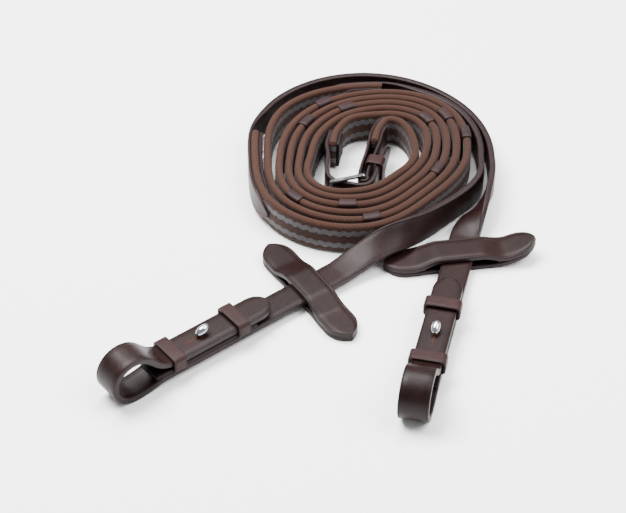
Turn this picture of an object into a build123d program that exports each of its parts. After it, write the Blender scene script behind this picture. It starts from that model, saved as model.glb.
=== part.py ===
from build123d import *
import os
from math import cos, floor, hypot, radians, sin, tan

os.makedirs("parts", exist_ok=True)

# ---------------------------------------------------------------- driving sizes (mm)
STRAP_WIDTH = 16.0        # leather straps
STRAP_THICK = 3.6
WEB_WIDTH = 19.0          # rubber-lined web grips
WEB_THICK = 4.4
LAP_THICK = 1.7           # skived leather each side of a web end
GLUE_LINE = 0.1           # between leather and the web it is sewn to
HAND_STOP_LENGTH = 10.0   # leather bands along the web
HAND_STOP_THICK = 0.65
WEB_LIFT = 0.9            # the buckle frame keeps the web this far off the floor
LINING_THICK = 2.2
LIFT_FLAT = 3.0           # underside of the flat strap above the floor
BILLET_GAP = 0.6          # air between lining and turned-back billet
KEEPER_WIDTH = 7.5
KEEPER_THICK = 1.6
STOP_LENGTH = 84.0
STOP_WIDTH = 18.0
BRIDGE_HALF = 8.4         # half width of a stop where it bridges the strap
STOP_THICK = 2.7
BUCKLE_BAR = 2.1
TONGUE_DIAMETER = 1.8
TONGUE_SHORT = 1.7        # the tongue tip stops this far before the far bar's middle
STUD_LEAN = 22.0          # degrees the stud head leans back
CLEAR = 0.3               # air round pieces that slide

COIL_X = 22.2
COIL_Y = 61.6
WEB_MID_Z = WEB_LIFT + WEB_WIDTH / 2
HALF_STRAP = STRAP_WIDTH / 2
HALF_THICK = STRAP_THICK / 2
HALF_WEB = WEB_THICK / 2

# Coil radii every eighth of a turn, winding clockwise and outward seen from above.
# The left rein starts on the right-hand side of the coil, the right rein at the back.
LEFT_RADII = (
    30.0, 26.0, 31.4, 37.9, 29.2, 31.5, 40.5, 50.0,
    41.3, 37.0, 43.5, 48.4, 41.0, 43.5, 51.3, 61.0,
    53.2, 47.6, 56.4, 59.6, 53.8, 62.0, 63.9, 70.9,
    67.5, 62.0,
)
RIGHT_RADII = (
    35.5, 44.5, 35.5, 31.5, 37.4, 42.8, 35.2, 37.5,
    46.0, 55.5, 47.2, 42.3, 50.1, 53.9, 46.8, 49.4,
    56.5, 66.2, 59.4, 53.0, 62.5, 66.2, 61.0, 71.0,
    75.5, 75.0, 73.5, 72.0,
)
# Leather between the coil and the straight flat run, as points about one step apart.
LEFT_EXIT = ((90.6, 75.0), (89.7, 61.6), (88.8, 48.2), (83.4, 36.3), (74.2, 25.8), (64.0, 15.9), (53.9, 5.9),
             (42.9, -3.1), (30.4, -9.9), (17.9, -16.6), (6.3, -25.2))
RIGHT_EXIT = ((95.0, 74.1), (95.7, 61.6), (95.4, 48.6), (92.4, 36.2), (87.2, 24.8), (81.2, 13.8), (77.0, 2.3),
              (74.2, -9.4))
LEFT_EXIT_STEP = 14.0
RIGHT_EXIT_STEP = 12.5

# Straight flat runs: the point under the middle of the martingale stop and the way to the bit.
LEFT_STOP = (-7.8, -36.4)
LEFT_HEADING = 218.4
RIGHT_STOP = (74.2, -9.4)
RIGHT_HEADING = 256.5
LEFT_FLAT_FROM = -18.0
RIGHT_FLAT_FROM = -12.0
LEFT_BEND_AT = -18.0      # where the left curve meets its straight line
RIGHT_BEND_AT = -12.0
LEFT_STOP_SKEW = -6.0     # how far each stop is turned from square to its strap
RIGHT_STOP_SKEW = 22.0
RIGHT_STOP_CURL = 8.0     # rise of the right stop's outer tip

# Places along a billet, measured from the middle of the stop.
TIP_AT = 28.0
TIP_KEEPER_AT = 50.0
STUD_AT = 72.0
BIT_KEEPER_AT = 91.0
LINING_END = 105.0
LOOP_CENTRE = (117.3, 14.0)   # bit loop: run along the strap and height
LOOP_BORE = 10.3
LOOP_FROM, LOOP_TO = -95.0, 125.0
NECK_LOW = (98.0, 107.5)      # where the strap leaves the straight and dips toward the loop
NECK_HIGH = (87.0, 99.0)


# ---------------------------------------------------------------- helpers
def through(values, u):
    """Smooth curve through equally stepped values (numbers or points)."""
    last = len(values) - 1
    i = max(0, min(last - 1, int(floor(u))))
    t = u - i
    p0, p1, p2, p3 = (values[max(0, min(last, j))] for j in (i - 1, i, i + 1, i + 2))
    if isinstance(p1, tuple):
        columns = zip(p0, p1, p2, p3)
        return tuple(blend_four(a, b, c, d, t) for a, b, c, d in columns)
    return blend_four(p0, p1, p2, p3, t)


def blend_four(a, b, c, d, t):
    return 0.5 * (2 * b + (c - a) * t + (2 * a - 5 * b + 4 * c - d) * t**2 + (3 * b - a - 3 * c + d) * t**3)


def coil_point(radii, start, u):
    angle = radians(start - 45 * u)
    radius = through(radii, u)
    return COIL_X + radius * cos(angle), COIL_Y + radius * sin(angle)


def left_web(u):
    return coil_point(LEFT_RADII, 0, u)


def right_web(u):
    return coil_point(RIGHT_RADII, 90, u)


def left_strap(u):
    return left_web(u) if u < 24 else through(LEFT_EXIT, u - 23)


def right_strap(u):
    return right_web(u) if u < 26 else through(RIGHT_EXIT, u - 25)


def direction(route, u):
    ax, ay = route(u - 0.01)
    bx, by = route(u + 0.01)
    size = hypot(bx - ax, by - ay)
    return (bx - ax) / size, (by - ay) / size


def beside(route, u, out):
    """Point level with station u, shifted to the left of the way the strap runs."""
    x, y = route(u)
    dx, dy = direction(route, u)
    return x - dy * out, y + dx * out


def ease(t):
    t = max(0.0, min(1.0, t))
    return t * t * (3 - 2 * t)


def wall_face(route, u0, u1, inner, outer, step=0.35):
    """Plan of a strap standing on edge, as arcs; inner and outer may vary along it."""
    arcs = max(1, round((u1 - u0) / step))
    spots = [u0 + (u1 - u0) * i / (2 * arcs) for i in range(2 * arcs + 1)]
    side_a = [beside(route, u, inner(u) if callable(inner) else inner) for u in spots]
    side_b = [beside(route, u, outer(u) if callable(outer) else outer) for u in spots]
    with BuildSketch() as plan:
        with BuildLine():
            for line in (side_a, side_b):
                for i in range(0, len(spots) - 2, 2):
                    ThreePointArc(line[i], line[i + 1], line[i + 2])
            Line(side_a[-1], side_b[-1])
            Line(side_b[0], side_a[0])
        make_face()
    return plan.sketch


def open_path(points):
    return lambda u: through(points, u)


def facing_plane(route, u, out, mid_z):
    """Plane square to the strap face at station u: x along the strap, y up."""
    x, y = beside(route, u, out)
    dx, dy = direction(route, u)
    return Plane(origin=(x, y, mid_z), x_dir=(dx, dy, 0), z_dir=(dy, -dx, 0))


def pointed_end(length, half, back=1):
    """The two corners taken off a strap end to leave a point; x runs away from the tip."""
    with BuildSketch() as corners:
        for side in (1, -1):
            with BuildLine():
                Polyline((-3 * back, 0), (0, 0), (0, side * 1.5), (back * length * 0.45, side * half * 0.72),
                         (back * length, side * half), (back * length, side * (half + 2)),
                         (-3 * back, side * (half + 2)), (-3 * back, 0))
            make_face()
    return corners.sketch


# ---------------------------------------------------------------- web grips
def make_web(route, u0, u1):
    with BuildPart() as web:
        extrude(wall_face(route, u0, u1, -HALF_WEB, HALF_WEB), amount=WEB_WIDTH)
    web.part.position = (0, 0, WEB_LIFT)
    return web


LEFT_WEB_PATH = ((29.4, 73.6), (31.8, 84.6), (37.1, 93.4), (44.5, 91.9), (49.8, 83.1),
                 (52.0, 72.6), left_web(0),
                 left_web(0.5), left_web(1))
RIGHT_WEB_PATH = ((5.2, 70.6), (7.7, 82.6), (13.8, 92.8), right_web(0), right_web(0.5))


def left_web_full(u):
    return left_web(u) if u > 0.5 else through(LEFT_WEB_PATH, 6 + 2 * u if u > 0 else 6 + u)


def right_web_full(u):
    return right_web(u) if u > 0.5 else through(RIGHT_WEB_PATH, 3 + 2 * u if u > 0 else 3 + u)


LEFT_WEB_END = 22.25
RIGHT_WEB_END = 22.4
LEFT_LAP_FROM = 21.5
RIGHT_LAP_FROM = 21.1

left_grip_web = make_web(left_web_full, -6, LEFT_WEB_END)
left_grip_web.part.label = "left_grip_web"
export_step(left_grip_web.part, "parts/left_grip_web.step")

right_grip_web = make_web(right_web_full, -3, RIGHT_WEB_END)
right_grip_web.part.label = "right_grip_web"
export_step(right_grip_web.part, "parts/right_grip_web.step")


# ---------------------------------------------------------------- hand stops
def make_hand_stop(route, u):
    """Leather band closed round the web."""
    x, y = route(u)
    x0, y0 = route(u - 0.05)
    x1, y1 = route(u + 0.05)
    half_span = HAND_STOP_LENGTH / 2 / (hypot(x1 - x0, y1 - y0) / 0.1)
    rim = HALF_WEB + HAND_STOP_THICK
    with BuildPart() as band:
        outline = wall_face(route, u - half_span, u + half_span, -rim, rim)
        extrude(outline, amount=WEB_WIDTH + 2 * HAND_STOP_THICK)
        fillet(band.faces().filter_by(Axis.Z).edges().filter_by(
            lambda e: e.length > HAND_STOP_LENGTH * 0.7), 0.6)
        snug = HALF_WEB + GLUE_LINE
        hole = wall_face(route, u - 1.1 * half_span, u + 1.1 * half_span, -snug, snug)
        hole = hole.moved(Location((0, 0, HAND_STOP_THICK - GLUE_LINE)))
        extrude(hole, amount=WEB_WIDTH + 2 * GLUE_LINE, mode=Mode.SUBTRACT)
    band.part.position = (0, 0, WEB_LIFT - HAND_STOP_THICK)
    return band


LEFT_HAND_STOPS = (7.1, 10.25, 12.95, 15.2, 17.9)
RIGHT_HAND_STOPS = (7.75, 10.4, 13.0, 15.45, 17.62)

for number, u in enumerate(LEFT_HAND_STOPS, 1):
    hand_stop = make_hand_stop(left_web, u)
    hand_stop.part.label = f"left_hand_stop_{number}"
    export_step(hand_stop.part, f"parts/left_hand_stop_{number}.step")

for number, u in enumerate(RIGHT_HAND_STOPS, 1):
    hand_stop = make_hand_stop(right_web, u)
    hand_stop.part.label = f"right_hand_stop_{number}"
    export_step(hand_stop.part, f"parts/right_hand_stop_{number}.step")


# ---------------------------------------------------------------- front straps
def side_plane(origin, heading):
    """Upright plane along a straight run: x toward the bit, y up."""
    dx, dy = cos(radians(heading)), sin(radians(heading))
    return Plane(origin=(origin[0], origin[1], 0), x_dir=(dx, dy, 0), z_dir=(dy, -dx, 0))


def top_plane(origin, heading, z):
    """Level plane along a straight run: x toward the bit."""
    dx, dy = cos(radians(heading)), sin(radians(heading))
    return Plane(origin=(origin[0], origin[1], z), x_dir=(dx, dy, 0), z_dir=(0, 0, 1))


def loop_point(radius, angle):
    return LOOP_CENTRE[0] + radius * cos(radians(angle)), LOOP_CENTRE[1] + radius * sin(radians(angle))


def loop_way(angle):
    """Way round the bit loop at an angle, from the floor side over the top."""
    return -sin(radians(angle)), cos(radians(angle))


def loop_back(angle):
    return sin(radians(angle)), -cos(radians(angle))


def make_front_strap(route, lap_from, web_end, edge_to, origin, heading, bend_at, step_mm,
                     curve_end, flat_from,
                     lean, bias, hump):
    mid_z = WEB_MID_Z
    dx, dy = cos(radians(heading)), sin(radians(heading))
    lap_in = HALF_WEB + GLUE_LINE
    lap_out = lap_in + LAP_THICK

    def inner_face(u):
        t = ease((u - web_end) / 0.5)
        return lap_in + (-HALF_THICK - lap_in) * t

    def outer_face(u):
        t = ease((u - web_end) / 0.5)
        return lap_out + (HALF_THICK - lap_out) * t

    edge_s = bend_at - (curve_end - edge_to) * step_mm

    def section(s):
        if s >= bend_at:
            x, y = origin[0] + dx * s, origin[1] + dy * s
            tx, ty = dx, dy
        else:
            u = curve_end + (s - bend_at) / step_mm
            x, y = route(u)
            tx, ty = direction(route, u)
        t = (s - edge_s) / (flat_from - edge_s)
        tilt = radians(90 * (1 - ease(t**bias)))
        base = (mid_z - HALF_STRAP) * (1 - t) + LIFT_FLAT * t
        z = base + HALF_STRAP * sin(tilt) + HALF_THICK * cos(tilt)
        z = z + hump[1] * ease(1 - abs(s - hump[0]) / hump[2])
        across = (ty * lean * cos(tilt), -tx * lean * cos(tilt), sin(tilt))
        return Plane(origin=(x, y, z), x_dir=across, z_dir=(tx, ty, 0))

    with BuildPart() as strap:
        # on edge in the coil, thinned to a lap over the web end
        face = wall_face(route, lap_from, edge_to, inner_face, outer_face, 0.25)
        extrude(face.moved(Location((0, 0, mid_z - HALF_STRAP))), amount=STRAP_WIDTH)
        point = pointed_end(13, HALF_STRAP)
        plane = facing_plane(route, lap_from, 0, mid_z)
        extrude(plane * point, amount=8, both=True, mode=Mode.SUBTRACT)
        # turning over from on edge to flat
        count = 12
        for i in range(count + 1):
            with BuildSketch(section(edge_s + (flat_from - edge_s) * i / count)):
                Rectangle(STRAP_WIDTH, STRAP_THICK)
        loft()
        # flat run, bit loop and turned-back billet as one side profile
        low, high = LIFT_FLAT, LIFT_FLAT + STRAP_THICK
        under = LIFT_FLAT + STRAP_THICK + LINING_THICK + BILLET_GAP
        shoulder = under + STRAP_THICK
        outer = LOOP_BORE + STRAP_THICK
        with BuildSketch(side_plane(origin, heading)):
            with BuildLine():
                Line((flat_from, low), (NECK_LOW[0], low))
                Spline((NECK_LOW[0], low), (NECK_LOW[1], low - 1.9), loop_point(outer, LOOP_FROM),
                       tangents=((1, 0), loop_way(LOOP_FROM)))
                ThreePointArc(loop_point(outer, LOOP_FROM), loop_point(outer, 15), loop_point(outer, LOOP_TO))
                Spline(loop_point(outer, LOOP_TO), (NECK_HIGH[1] - 0.9, shoulder + 2.0),
                       (NECK_HIGH[0], shoulder),
                       tangents=(loop_way(LOOP_TO), (-1, 0)))
                Polyline((NECK_HIGH[0], shoulder), (TIP_AT, shoulder), (TIP_AT, under), (NECK_HIGH[0], under))
                Spline((NECK_HIGH[0], under), (NECK_HIGH[1] + 0.9, under + 2.6),
                       loop_point(LOOP_BORE, LOOP_TO),
                       tangents=((1, 0), loop_back(LOOP_TO)))
                ThreePointArc(loop_point(LOOP_BORE, LOOP_TO), loop_point(LOOP_BORE, 15),
                              loop_point(LOOP_BORE, LOOP_FROM))
                Spline(loop_point(LOOP_BORE, LOOP_FROM), (NECK_LOW[1] + 0.4, high - 1.9), (NECK_LOW[0], high),
                       tangents=(loop_back(LOOP_FROM), (-1, 0)))
                Polyline((NECK_LOW[0], high), (flat_from, high), (flat_from, low))
            make_face()
        extrude(amount=HALF_STRAP, both=True)
        # rounded billet tip
        plane = top_plane((origin[0] + dx * TIP_AT, origin[1] + dy * TIP_AT), heading, under - 0.2)
        with BuildSketch(plane):
            for side in (1, -1):
                with BuildLine():
                    Line((-2, 0), (0, 0))
                    ThreePointArc((0, 0), (2.6, side * 5.2), (9, side * HALF_STRAP))
                    Line((9, side * HALF_STRAP), (9, side * (HALF_STRAP + 1)))
                    Line((9, side * (HALF_STRAP + 1)), (-2, side * (HALF_STRAP + 1)))
                    Line((-2, side * (HALF_STRAP + 1)), (-2, 0))
                make_face()
        extrude(amount=STRAP_THICK + 1, mode=Mode.SUBTRACT)
        # stud hole with its slit toward the bit
        plane = top_plane((origin[0] + dx * STUD_AT, origin[1] + dy * STUD_AT), heading, under - 0.2)
        with BuildSketch(plane):
            Circle(1.9)
            with Locations((5.0, 0)):
                Rectangle(10.0, 0.7)
        extrude(amount=STRAP_THICK + 1, mode=Mode.SUBTRACT)
    return strap


left_front_strap = make_front_strap(left_strap, LEFT_LAP_FROM, LEFT_WEB_END, 26.5, LEFT_STOP, LEFT_HEADING,
                                    LEFT_BEND_AT, LEFT_EXIT_STEP, 33, LEFT_FLAT_FROM, 1, 1.25, (-52, 4.6, 33))
left_front_strap.part.label = "left_front_strap"
export_step(left_front_strap.part, "parts/left_front_strap.step")

right_front_strap = make_front_strap(right_strap, RIGHT_LAP_FROM, RIGHT_WEB_END, 26.6, RIGHT_STOP,
                                     RIGHT_HEADING,
                                     RIGHT_BEND_AT, RIGHT_EXIT_STEP, 31, RIGHT_FLAT_FROM, -1, 1.5, (0, 0, 1))
right_front_strap.part.label = "right_front_strap"
export_step(right_front_strap.part, "parts/right_front_strap.step")


# ---------------------------------------------------------------- inner splice leathers
def make_splice(route, lap_from, web_end):
    """Short leather on the inner face of a web end, pointed like the lap outside it."""
    with BuildPart() as splice:
        face = wall_face(route, lap_from + 0.12, web_end, -HALF_WEB - LAP_THICK, -HALF_WEB - GLUE_LINE, 0.25)
        extrude(face.moved(Location((0, 0, WEB_MID_Z - HALF_STRAP))), amount=STRAP_WIDTH)
        plane = facing_plane(route, lap_from + 0.12, 0, WEB_MID_Z)
        extrude(plane * pointed_end(13, HALF_STRAP), amount=8, both=True, mode=Mode.SUBTRACT)
    return splice


left_splice_inner = make_splice(left_web, LEFT_LAP_FROM, LEFT_WEB_END)
left_splice_inner.part.label = "left_splice_inner"
export_step(left_splice_inner.part, "parts/left_splice_inner.step")

right_splice_inner = make_splice(right_web, RIGHT_LAP_FROM, RIGHT_WEB_END)
right_splice_inner.part.label = "right_splice_inner"
export_step(right_splice_inner.part, "parts/right_splice_inner.step")

# ---------------------------------------------------------------- billet linings, studs and keepers
LINING_Z = LIFT_FLAT + STRAP_THICK
BILLET_Z = LINING_Z + LINING_THICK + BILLET_GAP
KEEPER_SEAT = 0.6         # the keeper end lies this deep under the lining
KEEPER_TOP = BILLET_Z + STRAP_THICK + 0.8
LINING_FROM = 41.0
HEAD_RADIUS = 2.5         # stud head: round heel, then a taper to a small nose
NOSE_RADIUS = 0.9
HEAD_TAPER = 5.2


def make_lining(origin, heading):
    with BuildPart() as lining:
        with BuildSketch(side_plane(origin, heading)):
            with Locations(((LINING_FROM + LINING_END) / 2, LINING_Z + LINING_THICK / 2)):
                Rectangle(LINING_END - LINING_FROM, LINING_THICK)
            for place in (TIP_KEEPER_AT, BIT_KEEPER_AT):
                with Locations((place, LINING_Z + KEEPER_SEAT / 2)):
                    Rectangle(KEEPER_WIDTH + 0.1, KEEPER_SEAT, mode=Mode.SUBTRACT)
        extrude(amount=HALF_STRAP, both=True)
    return lining


def make_keeper(origin, heading, place):
    """Loop sewn in under the lining and standing over the billet."""
    dx, dy = cos(radians(heading)), sin(radians(heading))
    plane = Plane(origin=(origin[0] + dx * place, origin[1] + dy * place, LINING_Z), x_dir=(-dy, dx, 0),
                  z_dir=(dx, dy, 0))
    inner_half = HALF_STRAP + 0.35
    rise = KEEPER_TOP - LINING_Z
    with BuildPart() as keeper:
        with BuildSketch(plane):
            with Locations((0, (rise + KEEPER_THICK) / 2)):
                RectangleRounded(2 * inner_half + 2 * KEEPER_THICK, rise + KEEPER_THICK, 1.9)
            with Locations((0, (rise + KEEPER_SEAT) / 2)):
                RectangleRounded(2 * inner_half, rise - KEEPER_SEAT, 0.4, mode=Mode.SUBTRACT)
        extrude(amount=KEEPER_WIDTH / 2, both=True)
    return keeper


def make_stud(origin, heading):
    """Hook stud: foot on the lining, neck through the billet, bullet head leaning back over it."""
    foot_z = LINING_Z + LINING_THICK
    neck_top = BILLET_Z + STRAP_THICK + 2.3
    dx, dy = cos(radians(heading)), sin(radians(heading))
    base = Plane(origin=(origin[0] + dx * STUD_AT, origin[1] + dy * STUD_AT, foot_z), z_dir=(0, 0, 1))
    with BuildPart() as stud:
        with BuildSketch(base):
            Circle(3.4)
        extrude(amount=BILLET_GAP - 0.1)
        with BuildSketch(base):
            Circle(1.3)
        extrude(amount=neck_top - foot_z)
        back, up = cos(radians(STUD_LEAN)), sin(radians(STUD_LEAN))
        heel = Plane(origin=(base.origin.X, base.origin.Y, neck_top), x_dir=(dy, -dx, 0),
                     z_dir=(-dx * back, -dy * back, up))
        with Locations(heel):
            Sphere(HEAD_RADIUS)
        with Locations(heel.offset(0.5)):
            Cone(HEAD_RADIUS - 0.1, NOSE_RADIUS, HEAD_TAPER, align=(Align.CENTER, Align.CENTER, Align.MIN))
        with Locations(heel.offset(0.5 + HEAD_TAPER)):
            Sphere(NOSE_RADIUS + 0.02)
    return stud


for side, origin, heading in (("left", LEFT_STOP, LEFT_HEADING), ("right", RIGHT_STOP, RIGHT_HEADING)):
    lining = make_lining(origin, heading)
    lining.part.label = f"{side}_stud_lining"
    export_step(lining.part, f"parts/{side}_stud_lining.step")
    stud = make_stud(origin, heading)
    stud.part.label = f"{side}_hook_stud"
    export_step(stud.part, f"parts/{side}_hook_stud.step")
    bit_keeper = make_keeper(origin, heading, BIT_KEEPER_AT)
    bit_keeper.part.label = f"{side}_bit_keeper"
    export_step(bit_keeper.part, f"parts/{side}_bit_keeper.step")
    tip_keeper = make_keeper(origin, heading, TIP_KEEPER_AT)
    tip_keeper.part.label = f"{side}_tip_keeper"
    export_step(tip_keeper.part, f"parts/{side}_tip_keeper.step")


# ---------------------------------------------------------------- martingale stops
def make_stop_layer(origin, heading, bow, opening, upper):
    """One leather layer of a stop: x along its length (square to the strap before any skew)."""
    across = heading + 90
    half = STOP_LENGTH / 2
    bridge = LIFT_FLAT + STRAP_THICK + CLEAR

    ramp = 6.0

    def rise(x, shift):
        base = STOP_THICK if upper else 0.0
        curl = bow * (max(0.0, x - 14) / (half - 14)) ** 1.6
        if upper:
            base = base + (bridge - STOP_THICK) * ease((opening + shift + ramp - abs(x)) / ramp)
        return base + curl

    spots = [-half - 1, -half * 0.7]
    spots += [-opening - ramp * 1.3 + 1.3 * i for i in range(8)]
    spots += [-opening * 0.4, opening * 0.4]
    spots += [opening + ramp * 1.3 - 1.3 * i for i in reversed(range(8))]
    spots += [half * 0.7, half * 0.85, half + 1]
    low = [(x, rise(x, 0)) for x in spots]
    high = [(x, rise(x, 1.3) + STOP_THICK) for x in spots]
    with BuildPart() as layer:
        with BuildSketch(top_plane(origin, across, -1)):
            with BuildLine():
                for end in (1, -1):
                    Polyline((-end * 14, end * BRIDGE_HALF), (end * 14, end * BRIDGE_HALF),
                             (end * 24, end * STOP_WIDTH / 2),
                             (end * 30, end * STOP_WIDTH / 2))
                    TangentArc((end * 30, end * STOP_WIDTH / 2), (end * half, 0), tangent=(end, 0))
                    TangentArc((end * 30, -end * STOP_WIDTH / 2), (end * half, 0), tangent=(end, 0))
                    Polyline((end * 14, -end * BRIDGE_HALF), (end * 24, -end * STOP_WIDTH / 2),
                             (end * 30, -end * STOP_WIDTH / 2))
            make_face()
        extrude(amount=30)
        # everything above the top surface, then everything under the lower one
        for line, beyond in ((high, 35), (low, -5)):
            with BuildSketch(side_plane(origin, across)):
                with BuildLine():
                    Spline(*line)
                    Polyline(line[-1], (line[-1][0], beyond), (line[0][0], beyond), line[0])
                make_face()
            extrude(amount=STOP_WIDTH, both=True, mode=Mode.SUBTRACT)
    return layer


for side, origin, heading, skew, bow in (("left", LEFT_STOP, LEFT_HEADING, LEFT_STOP_SKEW, 0.0),
                                         ("right", RIGHT_STOP, RIGHT_HEADING, RIGHT_STOP_SKEW,
                                          RIGHT_STOP_CURL)):
    slant = radians(abs(skew))
    opening = HALF_STRAP / cos(slant) + BRIDGE_HALF * tan(slant) + 3 * CLEAR
    heading = heading + skew
    stop_lower = make_stop_layer(origin, heading, bow, opening, False)
    stop_lower.part.label = f"{side}_stop_lower"
    export_step(stop_lower.part, f"parts/{side}_stop_lower.step")
    stop_upper = make_stop_layer(origin, heading, bow, opening, True)
    stop_upper.part.label = f"{side}_stop_upper"
    export_step(stop_upper.part, f"parts/{side}_stop_upper.step")


# ---------------------------------------------------------------- centre buckle
HINGE = (22.6, 40.8)
FAR = (4.4, 35.0)
FRAME_HEADING = (0.9537, 0.3006)
BUCKLE_SPAN = hypot(HINGE[0] - FAR[0], HINGE[1] - FAR[1])
FRAME_HALF = HALF_STRAP + CLEAR + BUCKLE_BAR
POINT_THICK = 2.6
POINT_PATH = ((2.8, 61.6), (1.9, 51.6), (3.0, 43.6), (6.1, 39.4), (10.4, 37.6), (15.0, 36.4), (19.7, 35.2),
              (24.4, 36.0), (27.8, 40.0), (29.8, 46.6), (31.4, 54.1), (33.6, 62.1), (35.8, 69.6),
              (37.8, 76.6))
BUCKLE_FOLD = (
    (24.6, 64.6), (22.4, 55.6), (20.6, 46.6), (20.1, 42.2), (21.0, 39.2), (23.3, 38.6), (24.8, 40.4),
    (24.6, 43.6),
    (25.7, 49.6), (27.5, 56.1), (29.8, 64.1),
)


def band_face(points, half, step=0.5):
    """Plan of a strap on edge about a free path of points."""
    path = open_path(points)
    return wall_face(path, 0, len(points) - 1, -half, half, step)


lap_half = LAP_THICK / 2
lap_offset = HALF_WEB + 1.5 * GLUE_LINE + lap_half
left_side = [beside(left_web_full, u, lap_offset) for u in (-4.0, -4.3, -4.6, -4.9, -5.2, -5.5, -5.8)]
right_side = [beside(left_web_full, u, -lap_offset) for u in (-5.8, -5.5, -5.2, -4.9, -4.6)]
with BuildPart() as buckle_strap:
    fold = band_face((*left_side, *BUCKLE_FOLD, *right_side), lap_half)
    extrude(fold.moved(Location((0, 0, WEB_MID_Z - HALF_STRAP))), amount=STRAP_WIDTH)
    with BuildSketch(Plane.XY.offset(WEB_MID_Z - 1.9)):
        with Locations(HINGE):
            Circle(4.4)
    extrude(amount=3.8, mode=Mode.SUBTRACT)
buckle_strap.part.label = "buckle_strap"
export_step(buckle_strap.part, "parts/buckle_strap.step")


web_tail = [right_web_full(u) for u in (-2.0, -2.5, -3.0)]
point_route = open_path((*web_tail, *POINT_PATH))
POINT_LAST = len(web_tail) + len(POINT_PATH) - 1


def point_low(u):
    return -POINT_THICK / 2 - (lap_offset + lap_half - POINT_THICK / 2) * ease((3.4 - u) / 1.4)


def point_high(u):
    return POINT_THICK / 2 - (lap_offset - lap_half + POINT_THICK / 2) * ease((3.4 - u) / 1.4)


FRAME_PLANE = Plane(origin=((HINGE[0] + FAR[0]) / 2, (HINGE[1] + FAR[1]) / 2, WEB_MID_Z),
                    x_dir=(FRAME_HEADING[0], FRAME_HEADING[1], 0),
                    z_dir=(FRAME_HEADING[1], -FRAME_HEADING[0], 0))

with BuildPart() as point_strap:
    face = wall_face(point_route, 0, POINT_LAST, point_low, point_high, 0.5)
    extrude(face.moved(Location((0, 0, WEB_MID_Z - HALF_STRAP))), amount=STRAP_WIDTH)
    # pointed free end
    plane = facing_plane(point_route, POINT_LAST, 0, WEB_MID_Z)
    extrude(plane * pointed_end(12, HALF_STRAP, -1), amount=4, both=True, mode=Mode.SUBTRACT)
    # the hole the tongue goes through, then spare holes toward the free end
    with BuildSketch(FRAME_PLANE):
        with Locations((-0.6, 0)):
            SlotOverall(10.5, 2.8)
    extrude(amount=6, both=True, mode=Mode.SUBTRACT)
    for u in (14.2, 6.4):
        with BuildSketch(facing_plane(point_route, u, 0, WEB_MID_Z)):
            Circle(1.4)
        extrude(amount=3, both=True, mode=Mode.SUBTRACT)
point_strap.part.label = "point_strap"
export_step(point_strap.part, "parts/point_strap.step")

with BuildPart() as point_splice:
    face = wall_face(right_web_full, -3.0, -2.0, -HALF_WEB - LAP_THICK, -HALF_WEB - GLUE_LINE, 0.25)
    extrude(face.moved(Location((0, 0, WEB_MID_Z - HALF_STRAP))), amount=STRAP_WIDTH)
point_splice.part.label = "point_splice"
export_step(point_splice.part, "parts/point_splice.step")

with BuildPart() as buckle_frame:
    half_span = BUCKLE_SPAN / 2
    with BuildSketch(FRAME_PLANE):
        RectangleRounded(BUCKLE_SPAN + BUCKLE_BAR, 2 * FRAME_HALF, 1.6)
        Rectangle(BUCKLE_SPAN - BUCKLE_BAR, 2 * FRAME_HALF - 2 * BUCKLE_BAR, mode=Mode.SUBTRACT)
        with Locations((half_span, 0)):
            Rectangle(3 * BUCKLE_BAR, 2 * FRAME_HALF - 2 * BUCKLE_BAR, mode=Mode.SUBTRACT)
    extrude(amount=BUCKLE_BAR / 2, both=True)
    chamfer(buckle_frame.edges().filter_by(lambda e: e.length > 8), 0.45)
    with BuildSketch(Plane.XY.offset(BUCKLE_BAR / 2 + WEB_MID_Z - FRAME_HALF)):
        with Locations(HINGE):
            Circle(BUCKLE_BAR / 2)
    extrude(amount=2 * FRAME_HALF - BUCKLE_BAR)
buckle_frame.part.label = "buckle_frame"
export_step(buckle_frame.part, "parts/buckle_frame.step")

with BuildPart() as buckle_tongue:
    with BuildSketch(Plane.XY.offset(WEB_MID_Z - 1.4)):
        with Locations(HINGE):
            Circle(BUCKLE_BAR / 2 + 1.2)
    extrude(amount=2.8)
    fx, fy = FRAME_HEADING
    root = Plane(origin=(HINGE[0] - fx * 1.3 + fy * 1.3, HINGE[1] - fy * 1.3 - fx * 1.3, WEB_MID_Z),
                 x_dir=(0, 0, 1),
                 z_dir=(-fx + fy * 0.045, -fy - fx * 0.045, 0))
    with BuildSketch(root):
        Circle(TONGUE_DIAMETER / 2)
    extrude(amount=BUCKLE_SPAN - TONGUE_SHORT)
    with BuildSketch(Plane.XY.offset(WEB_MID_Z - 3)):
        with Locations(HINGE):
            Circle(BUCKLE_BAR / 2 + 0.06)
    extrude(amount=6, mode=Mode.SUBTRACT)
buckle_tongue.part.label = "buckle_tongue"
export_step(buckle_tongue.part, "parts/buckle_tongue.step")

KEEPER_AT = (29.5, 54.4)
KEEPER_TILT = 74.0
with BuildPart() as centre_keeper:
    kx, ky = cos(radians(KEEPER_TILT)), sin(radians(KEEPER_TILT))
    plane = Plane(origin=(KEEPER_AT[0], KEEPER_AT[1], WEB_MID_Z), x_dir=(ky, -kx, 0), z_dir=(kx, ky, 0))
    with BuildSketch(plane):
        RectangleRounded(10.0, 2 * FRAME_HALF - 0.2, 1.6)
        RectangleRounded(7.4, 2 * HALF_STRAP + 1.0, 0.5, mode=Mode.SUBTRACT)
    extrude(amount=KEEPER_WIDTH / 2, both=True)
centre_keeper.part.label = "centre_keeper"
export_step(centre_keeper.part, "parts/centre_keeper.step")
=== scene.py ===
from math import cos, floor, hypot, pi, radians, sin, sqrt

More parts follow.
